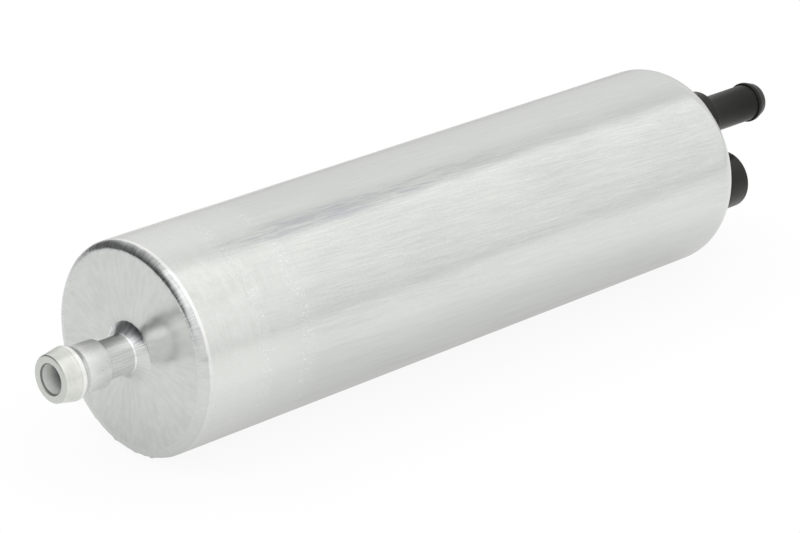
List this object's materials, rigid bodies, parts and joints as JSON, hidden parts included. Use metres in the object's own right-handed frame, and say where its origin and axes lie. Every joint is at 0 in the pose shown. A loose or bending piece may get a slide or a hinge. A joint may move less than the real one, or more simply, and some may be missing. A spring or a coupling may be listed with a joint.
{
  "type": "in-line electric fuel pump",
  "caption": "Cylindrical in-line electric fuel pump: aluminium can with a barbed suction nipple, and a moulded end with a barbed outlet and a plug socket.",
  "frame": {"origin": "on the can's axis at the middle of its length, where a strap clamp holds it", "axes": "+X along the can from the suction nipple to the outlet, +Z to the side that the outlet nipple is offset to"},
  "size_m": [0.2037, 0.043, 0.043],
  "materials": {
    "can_metal": "brushed satin",
    "mesh_steel": "woven",
    "pump_iron": "ground",
    "rotor_steel": "ground",
    "tube_steel": "plated",
    "spring_steel": "drawn",
    "magnet_ferrite": "sintered",
    "stack_steel": "rolled",
    "copper": "varnished",
    "bronze": "sintered",
    "sheet_brass": "rolled",
    "blade_metal": "tinned",
    "carbon": "dry",
    "moulding_dark": "moulded",
    "cap_plastic": "satin",
    "valve_plastic": "moulded",
    "capacitor_case": "dipped"
  },
  "bodies": {
    "housing": {"can": "can_metal", "suction_strainer": "mesh_steel", "pump_cover": "pump_iron", "pump_housing": "pump_iron", "relief_valve_spring": "spring_steel", "flux_tube": "tube_steel", "magnet_left": "magnet_ferrite", "magnet_right": "magnet_ferrite", "magnet_clip_top": "spring_steel", "magnet_clip_bottom": "spring_steel", "brush_holder": "moulding_dark", "end_bush": "bronze", "brush_tube_left": "sheet_brass", "brush_tube_right": "sheet_brass", "brush_spring_left": "spring_steel", "brush_spring_right": "spring_steel", "choke_core_left": "magnet_ferrite", "choke_core_right": "magnet_ferrite", "choke_coil_left": "copper", "choke_coil_right": "copper", "end_cap": "cap_plastic", "check_valve_seat": "sheet_brass", "check_valve_spring": "spring_steel", "terminal_positive": "blade_metal", "terminal_negative": "blade_metal", "capacitor": "capacitor_case"},
    "armature": {"motor_shaft": "rotor_steel", "inner_rotor": "rotor_steel", "lamination_stack": "stack_steel", "armature_windings": "copper", "commutator_core": "moulding_dark", "commutator_bars": "copper"},
    "outer_rotor": {"outer_rotor": "rotor_steel"},
    "relief_valve": {"relief_piston": "rotor_steel"},
    "check_valve": {"check_valve_poppet": "valve_plastic"},
    "brush_left": {"brush_left": "carbon"},
    "brush_right": {"brush_right": "carbon"}
  },
  "joints": [
    {"name": "armature_spin", "type": "hinge", "parent": "housing", "child": "armature", "pos_m": [0, 0, 0], "axis": [1, 0, 0], "continuous": true},
    {"name": "outer_rotor_spin", "type": "hinge", "parent": "housing", "child": "outer_rotor", "pos_m": [0, 0, 0.00135], "axis": [1, 0, 0], "continuous": true},
    {"name": "relief_valve_lift", "type": "slide", "parent": "housing", "child": "relief_valve", "axis": [-1, 0, 0], "range_m": [0, 0.0015], "stiffness_N_per_m": 900, "springref_m": -0.003, "deforming": ["relief_valve_spring"]},
    {"name": "check_valve_lift", "type": "slide", "parent": "housing", "child": "check_valve", "axis": [1, 0, 0], "range_m": [0, 0.0025], "stiffness_N_per_m": 60, "springref_m": -0.003, "deforming": ["check_valve_spring"]},
    {"name": "brush_left_slide", "type": "slide", "parent": "housing", "child": "brush_left", "axis": [0, 1, 0], "range_m": [0, 0.0015], "stiffness_N_per_m": 150, "springref_m": -0.003, "deforming": ["brush_spring_left"]},
    {"name": "brush_right_slide", "type": "slide", "parent": "housing", "child": "brush_right", "axis": [0, -1, 0], "range_m": [0, 0.0015], "stiffness_N_per_m": 150, "springref_m": -0.003, "deforming": ["brush_spring_right"]}
  ],
  "couplings": [
    {"joint": "outer_rotor_spin", "follows": "armature_spin", "ratio": 0.85714}
  ]
}
